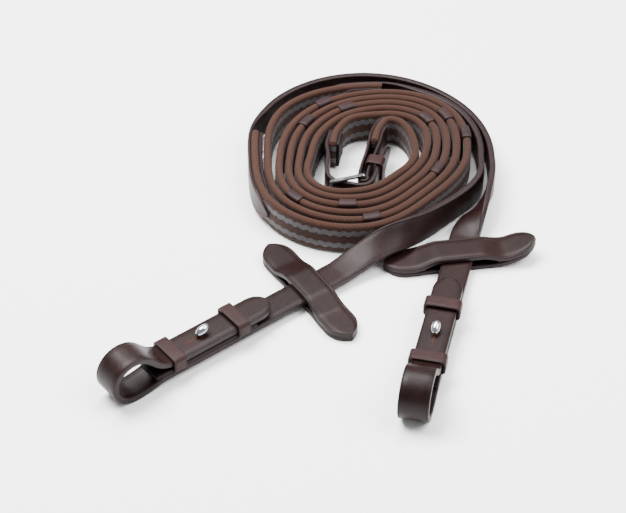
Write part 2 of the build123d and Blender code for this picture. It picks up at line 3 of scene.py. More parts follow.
import bmesh
import bpy
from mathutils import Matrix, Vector


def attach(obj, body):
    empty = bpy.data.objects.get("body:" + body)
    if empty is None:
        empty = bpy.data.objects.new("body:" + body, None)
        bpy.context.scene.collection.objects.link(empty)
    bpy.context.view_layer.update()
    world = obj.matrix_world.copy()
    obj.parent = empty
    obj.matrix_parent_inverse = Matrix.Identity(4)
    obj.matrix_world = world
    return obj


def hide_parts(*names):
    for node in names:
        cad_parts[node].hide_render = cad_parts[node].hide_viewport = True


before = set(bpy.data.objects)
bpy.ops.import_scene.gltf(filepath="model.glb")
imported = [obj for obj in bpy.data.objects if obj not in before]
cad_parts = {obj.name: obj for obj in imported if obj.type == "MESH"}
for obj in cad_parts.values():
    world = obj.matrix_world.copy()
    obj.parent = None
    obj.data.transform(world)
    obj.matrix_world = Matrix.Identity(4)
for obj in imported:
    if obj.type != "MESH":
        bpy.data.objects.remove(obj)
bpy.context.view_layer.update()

bl_info = {
    "name": "Leather reins",
    "version": (1, 0, 0),
    "blender": (4, 5, 0),
    "location": "3D View > Sidebar > Reins",
    "description": "Builds a coiled pair of leather riding reins with web grips",
    "category": "Object",
}

MM = 0.001

# ------------------------------------------------------------ the reins' run, in millimetres
STRAP_HALF, STRAP_HALF_THICK = 8.0, 1.8
WEB_HALF, WEB_HALF_THICK = 9.5, 2.2
LAP_THICK, GLUE_LINE = 1.7, 0.1
MID_Z = 10.4
LIFT_FLAT = 3.0
LINING_Z, LINING_THICK, BILLET_GAP = 6.6, 2.2, 0.6
COIL = (22.2, 61.6)
LEFT_RADII = (
    30.0, 26.0, 31.4, 37.9, 29.2, 31.5, 40.5, 50.0,
    41.3, 37.0, 43.5, 48.4, 41.0, 43.5, 51.3, 61.0,
    53.2, 47.6, 56.4, 59.6, 53.8, 62.0, 63.9, 70.9,
    67.5, 62.0,
)
RIGHT_RADII = (
    35.5, 44.5, 35.5, 31.5, 37.4, 42.8, 35.2, 37.5,
    46.0, 55.5, 47.2, 42.3, 50.1, 53.9, 46.8, 49.4,
    56.5, 66.2, 59.4, 53.0, 62.5, 66.2, 61.0, 71.0,
    75.5, 75.0, 73.5, 72.0,
)
LEFT_EXIT = ((90.6, 75.0), (89.7, 61.6), (88.8, 48.2), (83.4, 36.3), (74.2, 25.8), (64.0, 15.9), (53.9, 5.9),
             (42.9, -3.1), (30.4, -9.9), (17.9, -16.6), (6.3, -25.2))
RIGHT_EXIT = ((95.0, 74.1), (95.7, 61.6), (95.4, 48.6), (92.4, 36.2), (87.2, 24.8), (81.2, 13.8), (77.0, 2.3),
              (74.2, -9.4))
FLAT_MID_Z = LIFT_FLAT + STRAP_HALF_THICK
BILLET_MID_Z = LINING_Z + LINING_THICK + BILLET_GAP + STRAP_HALF_THICK
BILLET_TIP, TIP_KEEPER, STUD_AT, BILLET_ENTRY, BIT_KEEPER, LOOP_ENTRY = 28.0, 50.0, 72.0, 87.0, 91.0, 98.0
BILLET_ROUND = 9.0
LINING_ENDS = (41.0, 105.0)
LOOP_CENTRE, LOOP_RADIUS = (117.3, 14.0), 12.1
LOOP_FROM, LOOP_TO = -95.0, 125.0
KEEPER_HALF, KEEPER_HALF_THICK, KEEPER_CORNER = 3.75, 0.8, 1.5
STOP_REACH, STOP_THICK, BRIDGE_HALF, LOBE_HALF, LOBE_ROUND, LOBE_FROM = 42.0, 2.7, 8.4, 9.0, 12.5, 30.0
HAND_STOP_THICK, HAND_STOP_REACH = 0.65, 5.0
# The rubber lines: distance from the middle, sideways swing, and its turn for each millimetre of run.
LINE_CENTRE, LINE_SWING, LINE_TURN = 4.3, 0.45, 1.25
STITCH_LINE, STITCH_LIFT = 6.4, 0.05


def through(values, u):
    """Smooth curve through equally stepped values (numbers or points)."""
    last = len(values) - 1
    i = max(0, min(last - 1, int(floor(u))))
    t = u - i
    four = [values[max(0, min(last, j))] for j in (i - 1, i, i + 1, i + 2)]
    if isinstance(four[0], tuple):
        return tuple(blend_four(*column, t) for column in zip(*four))
    return blend_four(*four, t)


def blend_four(a, b, c, d, t):
    return 0.5 * (2 * b + (c - a) * t + (2 * a - 5 * b + 4 * c - d) * t**2 + (3 * b - a - 3 * c + d) * t**3)


def coil_point(radii, start, u):
    angle = radians(start - 45 * u)
    radius = through(radii, u)
    return COIL[0] + radius * cos(angle), COIL[1] + radius * sin(angle)


def left_coil(u):
    return coil_point(LEFT_RADII, 0, u)


def right_coil(u):
    return coil_point(RIGHT_RADII, 90, u)


LEFT_TAIL = ((29.4, 73.6), (31.8, 84.6), (37.1, 93.4), (44.5, 91.9), (49.8, 83.1), (52.0, 72.6), left_coil(0),
             left_coil(0.5), left_coil(1))
RIGHT_TAIL = ((5.2, 70.6), (7.7, 82.6), (13.8, 92.8), right_coil(0), right_coil(0.5))


def left_web(u):
    return left_coil(u) if u > 0.5 else through(LEFT_TAIL, 6 + 2 * u if u > 0 else 6 + u)


def right_web(u):
    return right_coil(u) if u > 0.5 else through(RIGHT_TAIL, 3 + 2 * u if u > 0 else 3 + u)


def left_strap(u):
    return left_web(u) if u < 24 else through(LEFT_EXIT, u - 23)


def right_strap(u):
    return right_web(u) if u < 26 else through(RIGHT_EXIT, u - 25)


# Places in the coil are route steps, an eighth of a turn each; places on the straight run are
# distances from the stop. hump is (place, height, half length), step the run of one exit step.
SIDES = {
    "left": dict(
        web=left_web, strap=left_strap, web_from=-6.0, web_to=22.25, lap_from=21.5, edge_to=26.5,
        curve_end=33.0, step=14.0, bend_at=-18.0, lean=1, bias=1.25, hump=(-52.0, 4.6, 33.0),
        stop=(-7.8, -36.4), heading=218.4, skew=-6.0, curl=0.0,
        hand_stops=(7.1, 10.25, 12.95, 15.2, 17.9)),
    "right": dict(
        web=right_web, strap=right_strap, web_from=-3.0, web_to=22.4, lap_from=21.1, edge_to=26.6,
        curve_end=31.0, step=12.5, bend_at=-12.0, lean=-1, bias=1.5, hump=(0.0, 0.0, 1.0),
        stop=(74.2, -9.4), heading=256.5, skew=22.0, curl=8.0,
        hand_stops=(7.75, 10.4, 13.0, 15.45, 17.62)),
}


def direction(route, u):
    ax, ay = route(u - 0.01)
    bx, by = route(u + 0.01)
    size = hypot(bx - ax, by - ay)
    return (bx - ax) / size, (by - ay) / size


def ease(t):
    t = max(0.0, min(1.0, t))
    return t * t * (3 - 2 * t)


def point_width(x, length, half):
    """Half width of a strap end that runs to a point, a distance x from the tip."""
    if x >= length:
        return half
    if x > 0.45 * length:
        return half * (0.72 + 0.28 * (x - 0.45 * length) / (0.55 * length))
    return 1.2 + (half * 0.72 - 1.2) * x / (0.45 * length)


# ------------------------------------------------------------ stations
# A station is a place on a strap: (centre, across, outward, half width, half thickness).
def on_edge(route, u, offset=0.0, half_width=STRAP_HALF, half_thick=STRAP_HALF_THICK, z=MID_Z):
    x, y = route(u)
    tx, ty = direction(route, u)
    centre = Vector((x - ty * offset, y + tx * offset, z))
    return centre, Vector((0, 0, 1)), Vector((-ty, tx, 0)), half_width, half_thick


def even_steps(route, u0, u1, step):
    """Values of u about a step apart along a route."""
    fine = 40
    n = max(2, int((u1 - u0) * fine))
    us = [u0 + (u1 - u0) * i / n for i in range(n + 1)]
    run = [0.0]
    for a, b in zip(us, us[1:]):
        (ax, ay), (bx, by) = route(a), route(b)
        run.append(run[-1] + hypot(bx - ax, by - ay))
    count = max(2, round(run[-1] / step))
    out, j = [], 0
    for i in range(count + 1):
        want = run[-1] * i / count
        while j < n - 1 and run[j + 1] < want:
            j += 1
        part = (want - run[j]) / max(1e-9, run[j + 1] - run[j])
        out.append(us[j] + (us[j + 1] - us[j]) * part)
    return out


def lap_stations(side, outer):
    """The skived end sewn to a web end, and for the outer one the strap it grows into."""
    d = SIDES[side]
    route, web_to = d["strap"], d["web_to"]
    start = d["lap_from"] + (0.0 if outer else 0.12)
    stop = d["edge_to"] if outer else web_to
    stations, run, before = [], 0.0, None
    for u in even_steps(route, start, stop, 1.4):
        x, y = route(u)
        if before:
            run += hypot(x - before[0], y - before[1])
        before = (x, y)
        lap = WEB_HALF_THICK + GLUE_LINE + LAP_THICK / 2
        t = ease((u - web_to) / 0.5)
        offset = lap * (1 - t) if outer else -lap
        thick = LAP_THICK / 2 + (STRAP_HALF_THICK - LAP_THICK / 2) * t
        thin = 0.45 + 0.55 * min(1.0, run / 14)
        stations.append(on_edge(route, u, offset, point_width(run, 13, STRAP_HALF), thick * thin))
    return stations


def twist_stations(side):
    """From on edge in the coil to flat on its way to the bit."""
    d = SIDES[side]
    edge_s = d["bend_at"] - (d["curve_end"] - d["edge_to"]) * d["step"]
    count = int((d["bend_at"] - edge_s) / 1.6)
    stations = []
    for i in range(1, count + 1):
        t = i / count
        s = edge_s + (d["bend_at"] - edge_s) * t
        u = d["curve_end"] + (s - d["bend_at"]) / d["step"]
        x, y = d["strap"](u)
        tx, ty = direction(d["strap"], u)
        tilt = radians(90 * (1 - ease(t ** d["bias"])))
        base = (MID_Z - STRAP_HALF) * (1 - t) + LIFT_FLAT * t
        z = base + STRAP_HALF * sin(tilt) + STRAP_HALF_THICK * cos(tilt)
        z += d["hump"][1] * ease(1 - abs(s - d["hump"][0]) / d["hump"][2])
        across = Vector((ty * d["lean"] * cos(tilt), -tx * d["lean"] * cos(tilt), sin(tilt)))
        outward = across.cross(Vector((tx, ty, 0)))
        stations.append((Vector((x, y, z)), across, outward, STRAP_HALF, STRAP_HALF_THICK))
    return stations


def bit_way(side):
    """Direction of the straight run towards the bit."""
    heading = radians(SIDES[side]["heading"])
    return cos(heading), sin(heading)


def on_run(side, s, z):
    """Point on the straight run, at a distance s from the stop and a height z."""
    (x, y), (dx, dy) = SIDES[side]["stop"], bit_way(side)
    return Vector((x + dx * s, y + dy * s, z))


def along(side, s, z, slope=(1.0, 0.0), half_width=STRAP_HALF, half_thick=STRAP_HALF_THICK):
    """A station on the straight flat run."""
    lean, (dx, dy) = SIDES[side]["lean"], bit_way(side)
    way = Vector((dx * slope[0], dy * slope[0], slope[1])) / hypot(*slope)
    across = Vector((dy * lean, -dx * lean, 0))
    return on_run(side, s, z), across, across.cross(way), half_width, half_thick


def hermite(p0, w0, p1, w1, t):
    reach = hypot(p1[0] - p0[0], p1[1] - p0[1])
    a, b, c, d = 2 * t**3 - 3 * t**2 + 1, t**3 - 2 * t**2 + t, -2 * t**3 + 3 * t**2, t**3 - t**2
    return tuple(a * p0[i] + b * reach * w0[i] + c * p1[i] + d * reach * w1[i] for i in (0, 1))


def loop_line():
    """Side view of the bit loop: (run, height) from the straight strap round to the billet."""
    def spot(angle):
        a = radians(angle)
        return LOOP_CENTRE[0] + LOOP_RADIUS * cos(a), LOOP_CENTRE[1] + LOOP_RADIUS * sin(a)

    def way(angle):
        return -sin(radians(angle)), cos(radians(angle))

    low = (((LOOP_ENTRY, FLAT_MID_Z), (1.0, 0.0)), ((107.7, 2.95), (0.98, -0.17)),
           (spot(LOOP_FROM), way(LOOP_FROM)))
    high = ((spot(LOOP_TO), way(LOOP_TO)), ((99.0, 13.6), (-0.9, -0.42)),
            ((BILLET_ENTRY, BILLET_MID_Z), (-1.0, 0.0)))
    line = []
    for (p0, w0), (p1, w1) in zip(low, low[1:]):
        line += [hermite(p0, w0, p1, w1, i / 8) for i in range(8)]
    line += [spot(LOOP_FROM + (LOOP_TO - LOOP_FROM) * i / 44) for i in range(44)]
    for (p0, w0), (p1, w1) in zip(high, high[1:]):
        line += [hermite(p0, w0, p1, w1, i / 10) for i in range(10)]
    return line + [high[-1][0]]


def flat_stations(side):
    """The straight run, the bit loop and the billet turned back to its rounded tip."""
    start = SIDES[side]["bend_at"]
    stations = [along(side, start + (LOOP_ENTRY - start) * i / 60, FLAT_MID_Z) for i in range(1, 60)]
    line = loop_line()
    for i, (s, z) in enumerate(line):
        (s0, z0), (s1, z1) = line[max(0, i - 1)], line[min(len(line) - 1, i + 1)]
        stations.append(along(side, s, z, (s1 - s0, z1 - z0)))
    run = [BILLET_ENTRY - (BILLET_ENTRY - 37.5) * i / 34 for i in range(1, 35)]
    run += [36.2, 34.5, 32.8, 31.2, 30.0, 29.2, 28.7, 28.3, 28.05]
    for s in run:
        short = max(0.0, BILLET_ROUND - (s - BILLET_TIP)) / BILLET_ROUND
        width = STRAP_HALF * sqrt(max(0.02, 1 - short**2))
        stations.append(along(side, s, BILLET_MID_Z, (-1.0, 0.0), width))
    return stations


def strap_stations(side):
    return lap_stations(side, True) + twist_stations(side) + flat_stations(side)


def web_stations(side, step):
    d = SIDES[side]
    return [on_edge(d["web"], u, 0, WEB_HALF, WEB_HALF_THICK)
            for u in even_steps(d["web"], d["web_from"], d["web_to"], step)]


def stop_stations(side, upper):
    """A martingale stop layer from tip to tip."""
    d = SIDES[side]
    turn = radians(d["heading"] + d["skew"] + 90)
    ax, ay = cos(turn), sin(turn)
    side_way = Vector((-ay, ax, 0))
    slant = radians(abs(d["skew"]))
    opening = STRAP_HALF / cos(slant) + BRIDGE_HALF * sin(slant) / cos(slant) + 0.9
    ramp, flat_until = 13.0, 14.0
    bridge = LIFT_FLAT + 2 * STRAP_HALF_THICK + 0.3

    def rise(x, shift):
        base = STOP_THICK if upper else 0.0
        if upper:
            base += (bridge - STOP_THICK) * ease((opening + shift + ramp - abs(x)) / (ramp + 2.0))
        return base + d["curl"] * (max(0.0, x - flat_until) / (STOP_REACH - flat_until)) ** 1.6

    ends = [41.98, 41.7, 41.2, 40.4, 39.2, 37.6, 35.6, 33.2, 30.6, 28, 26, 24]
    spots = [-x for x in ends] + [i - 22.0 for i in range(45)] + ends[::-1]
    stations = []
    for x in spots:
        if abs(x) > LOBE_FROM:
            width = LOBE_HALF - LOBE_ROUND + sqrt(max(0.0, LOBE_ROUND**2 - (abs(x) - LOBE_FROM) ** 2))
        else:
            width = BRIDGE_HALF + (LOBE_HALF - BRIDGE_HALF) * ease((abs(x) - flat_until) / 10)
        low, high = rise(x, 0.0), rise(x, 1.3) + STOP_THICK
        slope = (rise(x + 0.2, 0.6) - rise(x - 0.2, 0.6)) / 0.4
        way = Vector((ax, ay, slope)).normalized()
        centre = Vector((d["stop"][0] + ax * x, d["stop"][1] + ay * x, (low + high) / 2))
        stations.append((centre, side_way, side_way.cross(way), max(0.5, width), STOP_THICK / 2))
    return stations


def band_stations(points, half_thick, step=1.0, tip=None):
    """A leather band on edge about a free line of points, pointed at its far end if asked."""
    def route(u):
        return through(points, u)
    us = even_steps(route, 0, len(points) - 1, step)
    stations = [on_edge(route, u, 0, STRAP_HALF, half_thick) for u in us]
    if tip:
        last = len(stations) - 1
        stations = [(c, a, n, point_width((last - i) * step, tip, STRAP_HALF), t)
                    for i, (c, a, n, w, t) in enumerate(stations)]
    return stations


def ring_stations(centre, wide_way, tall_way, wide, tall, half_thick):
    """A closed keeper loop: its middle line is a rounded rectangle."""
    run_way = wide_way.cross(tall_way)
    spots = []
    for right, up, start in ((1, 1, 0), (-1, 1, 90), (-1, -1, 180), (1, -1, 270)):
        for i in range(7):
            nx, ny = cos(radians(start + 15 * i)), sin(radians(start + 15 * i))
            spots.append((right * (wide / 2 - KEEPER_CORNER) + KEEPER_CORNER * nx,
                          up * (tall / 2 - KEEPER_CORNER) + KEEPER_CORNER * ny, nx, ny))
    stations = []
    for i, (x, y, nx, ny) in enumerate(spots):
        x1, y1 = spots[(i + 1) % len(spots)][:2]
        parts = (0, 1 / 3, 2 / 3) if hypot(x1 - x, y1 - y) > 2.5 else (0,)
        for part in parts:
            spot = centre + wide_way * (x + (x1 - x) * part) + tall_way * (y + (y1 - y) * part)
            stations.append((spot, run_way, wide_way * nx + tall_way * ny, KEEPER_HALF, half_thick))
    return stations


# ------------------------------------------------------------ profiles
# A profile is a ring of (across, outward, edge) points; edge is 1 on the cut edges.
def rounded_side(half, thick, corner):
    """The cut edge of a strap, from its outer face round to its inner face."""
    def arc(angles, outward):
        return [(corner * cos(radians(a)) - half + corner, outward + corner * sin(radians(a)), 1.0)
                for a in angles]

    inset = thick - corner
    return arc((120, 150, 180), inset) + [(-half, -inset, 1.0)] + arc((210, 240), -inset)


def both_faces(ring):
    """A half profile and the same half turned round for the other face."""
    return ring + [(-v, -n, e) for v, n, e in ring]


def eased_profile(half, thick, corner, crease=None, groove=0.0):
    """A cut edge strap with eased edges and a crease line near each edge."""
    marks = [half - corner, half - corner - 0.25]
    if crease:
        marks += [half - crease + 0.3, half - crease, half - crease - 0.3]
    marks += [half * 0.5, half * 0.17]
    marks += [-m for m in reversed(marks)]
    dips = [groove if crease and abs(abs(v) - (half - crease)) < 0.01 else 0.0 for v in marks]
    face = [(v, thick - dip, 0.0) for v, dip in zip(marks, dips)]
    return both_faces(face + rounded_side(half, thick, corner))


def web_profile():
    """Woven web: flat faces between full round selvedges."""
    corner = 1.9
    flat = WEB_HALF - corner
    ring = [(flat * (1 - i / 9), WEB_HALF_THICK, 0.0) for i in range(19)]
    for angle in (120, 150, 180, 210, 240):
        a = radians(angle)
        ring.append((corner * cos(a) - flat, WEB_HALF_THICK * sin(a), 1.0))
    return both_faces(ring)


# ------------------------------------------------------------ meshes
def link_object(name, mesh):
    obj = bpy.data.objects.new(name, mesh)
    bpy.context.scene.collection.objects.link(obj)
    return obj


def sweep(name, stations, ring, closed=False, relief=None):
    """Runs a profile along the stations, in metres, with a UV map (run, across) and an edge attribute."""
    half, thick = max(v for v, n, e in ring), max(n for v, n, e in ring)
    verts, uvs, edges, run, before = [], [], [], 0.0, stations[0][0]
    for index, (centre, across, outward, half_width, half_thick) in enumerate(stations):
        run += (centre - before).length
        before = centre
        for v, n, e in ring:
            lift = relief(run, v, e, index) if relief else 0.0
            p = centre + across * (v * half_width / half) + outward * (n * half_thick / thick)
            if e:
                p = p + across * (lift if v >= 0 else -lift)
            else:
                p = p + outward * (lift if n >= 0 else -lift)
            verts.append(p * MM)
            uvs.append((run * MM, v * MM))
            edges.append(e)
    size, count = len(ring), len(stations)
    faces = []
    for i in range(count if closed else count - 1):
        j = (i + 1) % count
        for k in range(size):
            m = (k + 1) % size
            faces.append((i * size + k, i * size + m, j * size + m, j * size + k))
    ends = () if closed else (0, (count - 1) * size)
    for base in ends:
        for k in range(size // 2 - 1):
            faces.append((base + k, base + k + 1, base + size - 2 - k, base + size - 1 - k))
    mesh = bpy.data.meshes.new(name)
    mesh.from_pydata(verts, [], faces)
    layer = mesh.uv_layers.new(name="Strap run")
    for loop in mesh.loops:
        layer.data[loop.index].uv = uvs[loop.vertex_index]
    mesh.attributes.new("edge", "FLOAT", "POINT").data.foreach_set("value", edges)
    bm = bmesh.new()
    bm.from_mesh(mesh)
    bmesh.ops.recalc_face_normals(bm, faces=bm.faces)
    bm.to_mesh(mesh)
    bm.free()
    mesh.polygons.foreach_set("use_smooth", [True] * len(mesh.polygons))
    return link_object(name, mesh)


FINISHES = {"strap_leather": "Strap leather", "inner_leather": "Lining leather",
            "trim_leather": "Trim leather", "web": "Rubber lined web", "steel": "Polished steel"}


def make_piece(name, stations, ring, slot, body, *nodes, material=None, **how):
    """Sweeps a piece, gives it its finish and rides it on its body, in place of its CAD nodes."""
    obj = sweep(name, stations, ring, **how)
    obj.data.materials.append(bpy.data.materials[material or FINISHES[slot]])
    if nodes:
        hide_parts(*nodes)
    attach(obj, body)


def row_points(stations, v, face):
    """A row of stitches on one face of a strap, at a distance from its middle."""
    points = []
    for centre, across, outward, half_width, half_thick in stations:
        reach = v if abs(v) < half_width - 0.6 else (half_width - 1.3) * (1 if v > 0 else -1)
        points.append(centre + across * reach + outward * face * (half_thick + STITCH_LIFT))
    return points


# ------------------------------------------------------------ node helpers
def add_socket(tree, name, kind, way="INPUT", value=None):
    socket = tree.interface.new_socket(name=name, in_out=way, socket_type=kind)
    if value is not None:
        socket.default_value = value


def fill_in(tree, made, inputs):
    """Links each input of a node to a socket, or sets it to a value."""
    for key, value in inputs.items():
        if isinstance(value, bpy.types.NodeSocket):
            tree.links.new(value, made.inputs[key])
        else:
            made.inputs[key].default_value = value


def node(tree, kind, inputs=None, **settings):
    made = tree.nodes.new(kind)
    for key, value in settings.items():
        setattr(made, key, value)
    fill_in(tree, made, inputs or {})
    return made


def maths(tree, operation, a, b=0.0, clamp=False):
    return node(tree, "ShaderNodeMath", {0: a, 1: b}, operation=operation, use_clamp=clamp).outputs[0]


def times(tree, a, b):
    return maths(tree, "MULTIPLY", a, b)


def plus(tree, a, b):
    return maths(tree, "ADD", a, b)


def mix_colour(tree, factor, a, b):
    """Mixes two colours, each a socket or a plain tone."""
    a, b = (tone if isinstance(tone, bpy.types.NodeSocket) else (*tone, 1) for tone in (a, b))
    return node(tree, "ShaderNodeMix", {0: factor, 6: a, 7: b}, data_type="RGBA").outputs[2]


def stretch(tree, value, low, high, to_low=0.0, to_high=1.0):
    ends = {"Value": value, "From Min": low, "From Max": high, "To Min": to_low, "To Max": to_high}
    return node(tree, "ShaderNodeMapRange", ends).outputs["Result"]


def noise(tree, place, scale, detail=3.0, rough=0.55):
    inputs = {"Vector": place, "Scale": scale, "Detail": detail, "Roughness": rough}
    return node(tree, "ShaderNodeTexNoise", inputs).outputs["Fac"]


def object_place(tree):
    return tree.nodes.new("ShaderNodeTexCoord").outputs["Object"]


def edge_of(tree):
    return node(tree, "ShaderNodeAttribute", attribute_name="edge").outputs["Fac"]


def new_group(name, inputs, outputs):
    """Starts a shader group of plain numbers; gives its tree and the sockets of its inputs."""
    tree = bpy.data.node_groups.new(name, "ShaderNodeTree")
    for socket, value in inputs.items():
        add_socket(tree, socket, "NodeSocketFloat", value=value)
    for socket in outputs:
        add_socket(tree, socket, "NodeSocketFloat", "OUTPUT")
    return tree, tree.nodes.new("NodeGroupInput").outputs


# ------------------------------------------------------------ shader groups
def leather_grain_group():
    """Pores, fine wrinkles and slow tone change of finished bridle leather."""
    tree, given = new_group("Leather grain", {"Grain Size": 900.0, "Wrinkle Depth": 0.35},
                            ("Tone", "Height", "Scuff"))
    place = object_place(tree)
    cells = node(tree, "ShaderNodeTexVoronoi", {"Vector": place, "Scale": given["Grain Size"]},
                 feature="DISTANCE_TO_EDGE")
    pores = stretch(tree, cells.outputs["Distance"], 0.0, 0.16)
    wrinkles = times(tree, noise(tree, place, 330.0, 6.0, 0.62), given["Wrinkle Depth"])
    height = plus(tree, times(tree, pores, 0.65), wrinkles)
    slow = times(tree, noise(tree, place, 34.0, 4.0, 0.6), 0.7)
    fine = times(tree, noise(tree, place, 260.0, 3.0, 0.6), 0.3)
    tone = stretch(tree, plus(tree, slow, fine), 0.32, 0.68)
    scuff = stretch(tree, noise(tree, place, 95.0, 5.0, 0.7), 0.57, 0.72)
    node(tree, "NodeGroupOutput", {"Tone": tone, "Height": height, "Scuff": scuff})


def edge_burnish_group():
    """Waxed grey-mauve cut edges, broken where the wax has rubbed off."""
    tree, given = new_group("Edge burnish", {"Amount": 0.8}, ("Mask",))
    broken = stretch(tree, noise(tree, object_place(tree), 420.0, 4.0, 0.65), 0.3, 0.7, 0.45, 1.0)
    mask = maths(tree, "MULTIPLY", times(tree, edge_of(tree), broken), given["Amount"], True)
    node(tree, "NodeGroupOutput", {"Mask": mask})


def woven_web_group():
    """Twill ribs of the web, painted shade in the rib grooves, and the two wavy rubber lines on each face,
    from the strap's own run.
    """
    sizes_in = {"Rib Pitch": 1.4, "Line Centre": LINE_CENTRE, "Line Half Width": 1.7}
    tree, given = new_group("Woven web", sizes_in, ("Rubber", "Height", "Rib Shade And Fleck"))
    uv = node(tree, "ShaderNodeUVMap", uv_map="Strap run").outputs["UV"]
    apart = node(tree, "ShaderNodeSeparateXYZ", {0: uv})
    run, across = (times(tree, apart.outputs[axis], 1 / MM) for axis in "XY")
    from_middle = maths(tree, "ABSOLUTE", across)
    swing = times(tree, maths(tree, "SINE", times(tree, run, LINE_TURN)), LINE_SWING)
    off = plus(tree, maths(tree, "SUBTRACT", from_middle, given["Line Centre"]), swing)
    inside = maths(tree, "SUBTRACT", given["Line Half Width"], maths(tree, "ABSOLUTE", off))
    rubber = times(tree, stretch(tree, inside, -0.12, 0.12), maths(tree, "SUBTRACT", 1.0, edge_of(tree)))
    # Twill: the ribs lean over with the distance from the middle.
    turn = maths(tree, "DIVIDE", times(tree, run, 2 * pi), given["Rib Pitch"])
    rib = maths(tree, "SINE", plus(tree, turn, times(tree, from_middle, 2.6)))
    yarn = maths(tree, "SINE", times(tree, across, 9.0))
    fuzz = noise(tree, object_place(tree), 1600.0, 3.0, 0.7)
    weave = plus(tree, times(tree, times(tree, rib, yarn), 0.25), times(tree, rib, 0.25))
    height = plus(tree, weave, times(tree, fuzz, 0.5))
    # Painted shade: the rib term darkens the colour in the rib grooves and lightens it on the ribs; the fine
    # fuzz adds random fleck.
    rib_shade_and_fleck = stretch(tree, plus(tree, times(tree, rib, 0.26), fuzz), 0.15, 0.85)
    node(tree, "NodeGroupOutput", {"Rubber": rubber, "Height": height, "Rib Shade And Fleck": rib_shade_and_fleck})


# ------------------------------------------------------------ materials
def new_material(name):
    material = bpy.data.materials.new(name)
    material.use_nodes = True
    tree = material.node_tree
    return material, tree, tree.nodes["Principled BSDF"]


def place_group(tree, name, **values):
    made = node(tree, "ShaderNodeGroup", node_tree=bpy.data.node_groups[name])
    fill_in(tree, made, {key.replace("_", " "): value for key, value in values.items()})
    return made.outputs


def bump(tree, height, strength, depth):
    inputs = {"Height": height, "Strength": strength, "Distance": depth}
    return node(tree, "ShaderNodeBump", inputs).outputs["Normal"]


def dimmed(tone, share):
    return [part * share for part in tone]


def leather_material(name, dark, light, edge_tone, gloss, coat, grain=900.0, depth=0.00012):
    material, tree, bsdf = new_material(name)
    grained = place_group(tree, "Leather grain", Grain_Size=grain)
    edge = place_group(tree, "Edge burnish", Amount=0.75)["Mask"]
    tone, scuff = grained["Tone"], grained["Scuff"]
    rubbed = mix_colour(tree, times(tree, scuff, 0.14), mix_colour(tree, tone, dark, light), edge_tone)
    rough = stretch(tree, tone, 0.0, 1.0, gloss, gloss + 0.12)
    fill_in(tree, bsdf, {
        "Base Color": mix_colour(tree, edge, rubbed, edge_tone),
        "Roughness": maths(tree, "ADD", rough, times(tree, scuff, 0.12), True),
        "Coat Weight": coat,
        "Coat Roughness": 0.28,
        "Specular IOR Level": 0.10,
        "Normal": bump(tree, grained["Height"], 0.55, depth)})


def web_material(name, yarn, yarn_light, rubber_tone, rib_pitch):
    material, tree, bsdf = new_material(name)
    woven = place_group(tree, "Woven web", Rib_Pitch=rib_pitch)
    rib_shade_and_fleck, rubber = woven["Rib Shade And Fleck"], woven["Rubber"]
    # Painted shade: the yarn and the rubber lines are darker in the rib grooves and lighter on the ribs.
    cloth = mix_colour(tree, rib_shade_and_fleck, yarn, yarn_light)
    grey = mix_colour(tree, rib_shade_and_fleck, dimmed(rubber_tone, 0.6), rubber_tone)
    fill_in(tree, bsdf, {
        "Base Color": mix_colour(tree, rubber, cloth, grey),
        "Roughness": stretch(tree, rubber, 0.0, 1.0, 0.88, 0.6),
        "Specular IOR Level": 0.25,
        "Sheen Weight": 0.04,
        "Sheen Roughness": 0.5,
        "Normal": bump(tree, woven["Height"], 0.7, 0.00035)})


def steel_material(name, tone):
    material, tree, bsdf = new_material(name)
    place = object_place(tree)
    smear = noise(tree, place, 220.0, 4.0, 0.6)
    scratch = noise(tree, place, 1500.0, 2.0, 0.5)
    fill_in(tree, bsdf, {
        "Base Color": mix_colour(tree, smear, dimmed(tone, 0.86), tone),
        "Roughness": stretch(tree, smear, 0.3, 0.7, 0.1, 0.24),
        "Metallic": 1.0,
        "Normal": bump(tree, scratch, 0.08, 0.00002)})


def thread_material(name, tone):
    material, tree, bsdf = new_material(name)
    # Painted shade: the thread colour drops to 0.55 of its tone in the grooves of its twist, the same bands
    # that the bump lowers.
    twist = node(tree, "ShaderNodeTexWave", {"Vector": object_place(tree), "Scale": 900.0},
                 wave_type="BANDS", bands_direction="DIAGONAL").outputs["Fac"]
    fill_in(tree, bsdf, {
        "Base Color": mix_colour(tree, twist, dimmed(tone, 0.55), tone),
        "Roughness": 0.62,
        "Normal": bump(tree, twist, 0.4, 0.00006)})


